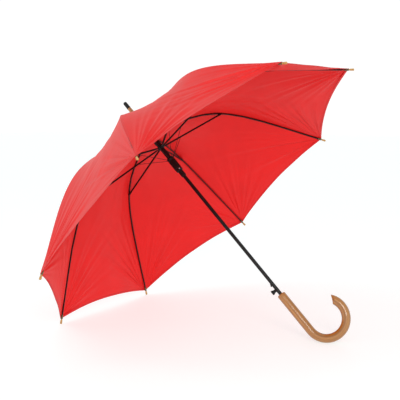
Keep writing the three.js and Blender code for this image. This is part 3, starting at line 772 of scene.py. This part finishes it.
def crook():
    """Straight down the shaft's line and round an arc. Past the arc the end is cut back from the
    inside of the bend, to a blunt point on the outside."""
    rings, grain = [], []

    def ring(centre, along, across, travelled, radius=HANDLE_RADIUS, left=1.0):
        side = along.cross(across)
        made = []
        for i in range(CROOK_SIDES):
            angle = 2 * math.pi * i / CROOK_SIDES
            a, b = radius * left * math.cos(angle), radius * math.sqrt(left) * math.sin(angle)
            made.append(centre + across * a + side * b)
            grain.append((a * MM, b * MM, travelled * MM))
        rings.append(made)

    def bent(turn, left=1.0):
        radius = CROOK_RADIUS + HANDLE_RADIUS * (1 - left) * BEVEL_SHIFT
        across = Vector((math.cos(turn), 0, math.sin(turn)))
        centre = Vector((CROOK_RADIUS, 0, CROOK_HEIGHT)) - across * radius
        along = Vector((math.sin(turn), 0, -math.cos(turn)))
        ring(centre, along, across, straight + CROOK_RADIUS * turn, left=left)

    down, inward = Vector((0, 0, -1)), Vector((1, 0, 0))
    for drop, less in TOP_EDGE:
        ring(Vector((0, 0, HANDLE_TOP - drop)), down, inward, drop, HANDLE_RADIUS - less)
    straight = HANDLE_TOP - CROOK_HEIGHT
    for drop in np.linspace(TOP_EDGE[-1][0], straight, STRAIGHT_STEPS)[1:-1]:
        ring(Vector((0, 0, HANDLE_TOP - drop)), down, inward, drop)
    for turn in np.linspace(0, CROOK_TURN, ARC_STEPS + 1):
        bent(turn)
    for share in np.linspace(0, 1, BEVEL_STEPS + 1)[1:]:
        left = 1 - BEVEL_RATE * share - BEVEL_GROWTH * share ** 2
        bent(CROOK_TURN + BEVEL_TURN * share, left)
    points, faces = skin(rings)
    return points, faces, grain


points, faces, grain = crook()
CROOK_SHARP = 40
made = outward(piece(
    "crook_wood", points, faces, WOOD, spoke_place(CROOK_SPOKE), CROOK_SHARP, grain=grain))
standing(made, "stick", "handle_wood", "crook_handle")

# Ferrule, its cap and the canopy washer ---------------------------------------------------------

FERRULE_BASE = NOTCH_HEIGHT + 12.5
made = turned("ferrule_wood_peg", rounded([
    (4.9, FERRULE_BASE), (9.2, FERRULE_BASE), (9.6, FERRULE_BASE + 2), (8.4, FERRULE_BASE + 14),
    (6.6, FERRULE_BASE + 40), (5.4, CAP_BASE - 0.35), (0, CAP_BASE - 0.35)], 1.2, 4),
    FERRULE_WOOD, grain=True)
standing(made, "stick", "ferrule_wood", "ferrule")


CAP_FLUTES = 12
CAP_FLUTE_DEPTH = 0.16


def cap_flutes(angle, height, radius):
    """Shallow grooves down the middle of the cap."""
    if CAP_BASE + 2 < height < FERRULE_END - 4:
        return -CAP_FLUTE_DEPTH * (0.5 + 0.5 * math.cos(CAP_FLUTES * angle))
    return 0


made = turned("ferrule_end_cap", rounded([
    (0, CAP_BASE), (5.6, CAP_BASE), (5.7, CAP_BASE + 1.6), (5.45, CAP_BASE + 2.4),
    (5.4, CAP_BASE + 14), (5.1, FERRULE_END - 2.4), (3.8, FERRULE_END), (0, FERRULE_END)], 0.8, 4),
    PLASTIC, sides=72, flute=cap_flutes)
standing(made, "stick", "black_plastic", "ferrule_cap")

made = turned("canopy_washer_disc", rounded([
    (5.0, NOTCH_HEIGHT + 10), (15, NOTCH_HEIGHT + 10), (15.1, NOTCH_HEIGHT + 10.8),
    (12, NOTCH_HEIGHT + 11.7), (9, NOTCH_HEIGHT + 12.1), (5.0, NOTCH_HEIGHT + 12.1),
    (5.0, NOTCH_HEIGHT + 10)], 0.3)[:-1], PLASTIC, sides=64, closed=True)
standing(made, "stick", "black_plastic", "canopy_washer")

# Lengthwise flutes moulded on the runner's barrel
BARREL_END = 105.5
WIRE_HEIGHT = 2 * ELBOW_HEIGHT - NOTCH_HEIGHT - 44
BARREL_FLUTES = 14
BARREL_FLUTE_DEPTH = 0.32
BARREL_PLAIN_RADIUS = 9.5


def barrel_flutes(angle, height, radius):
    """Ridges round the grip. Its narrow end rims stay plain."""
    if radius > BARREL_PLAIN_RADIUS:
        return BARREL_FLUTE_DEPTH * math.cos(BARREL_FLUTES * angle)
    return 0


made = turned("barrel_grip", [
    (9.42, BARREL_END + 8.5), (9.75, BARREL_END + 9.3), (9.85, BARREL_END + 11),
    (9.85, WIRE_HEIGHT - 8), (9.75, WIRE_HEIGHT - 6.6), (9.42, WIRE_HEIGHT - 6)],
    PLASTIC, sides=112, flute=barrel_flutes)
standing(made, "barrel", "black_plastic")

# Floor and light --------------------------------------------------------------------------------

# A pale floor that gives off part of its own light
FLOOR_GLOW = 0.6
GLOW_COLOUR = (0.99, 1.07, 1.07, 1)
floor_paint = Paint(
    "floor", Roughness=0.6, Specular_IOR_Level=0.1, Emission_Color=GLOW_COLOUR,
    Emission_Strength=FLOOR_GLOW)
floor_mottle = floor_paint.noise(floor_paint.place(), 3, 3)
floor_paint.wire(Base_Color=floor_paint.ramp(
    floor_mottle, (0.2, (0.46, 0.44, 0.44, 1)), (0.8, (0.48, 0.46, 0.46, 1))))
mesh = bpy.data.meshes.new("floor")
FLOOR = 14
mesh.from_pydata(
    [(-FLOOR, -FLOOR, 0), (FLOOR, -FLOOR, 0), (FLOOR, FLOOR, 0), (-FLOOR, FLOOR, 0)],
    [], [(0, 1, 2, 3)])
mesh.materials.append(floor_paint.material)
floor = put("floor", mesh)

world = bpy.data.worlds.new("studio")
bpy.context.scene.world = world
world.use_nodes = True
# Bright at the horizon and dimmer overhead, fading between these two heights
HORIZON, ZENITH = 1.05, 0.6
FADE_LOW, FADE_HIGH = 0.16, 0.8
background = world.node_tree.nodes["Background"]
sky_place = world.node_tree.nodes.new("ShaderNodeTexCoord")
sky_split = world.node_tree.nodes.new("ShaderNodeSeparateXYZ")
sky_fade = world.node_tree.nodes.new("ShaderNodeMapRange")
sky_fade.inputs["From Min"].default_value = FADE_LOW
sky_fade.inputs["From Max"].default_value = FADE_HIGH
sky_fade.inputs["To Min"].default_value = HORIZON
sky_fade.inputs["To Max"].default_value = ZENITH
world.node_tree.links.new(sky_place.outputs["Generated"], sky_split.inputs[0])
world.node_tree.links.new(sky_split.outputs["Z"], sky_fade.inputs["Value"])
world.node_tree.links.new(sky_fade.outputs["Result"], background.inputs["Strength"])
background.inputs["Color"].default_value = (1, 1, 1, 1)
bpy.context.scene.view_settings.view_transform = "Standard"


WARM = (1, 0.95, 0.88)
LIT_POINT = (0, 0, 0.35)


def softbox(name, where, size, power):
    """A square lamp turned towards the umbrella."""
    light = bpy.data.lights.new(name, "AREA")
    light.size, light.energy, light.color = size, power, WARM
    made = put(name, light)
    made.location = where
    made.rotation_euler = (Vector(where) - Vector(LIT_POINT)).to_track_quat("Z", "Y").to_euler()


softbox("key", (1.9, -2.0, 1.5), 1.0, 30)
softbox("top", (-1.5, -1.3, 2.5), 1.2, 12)
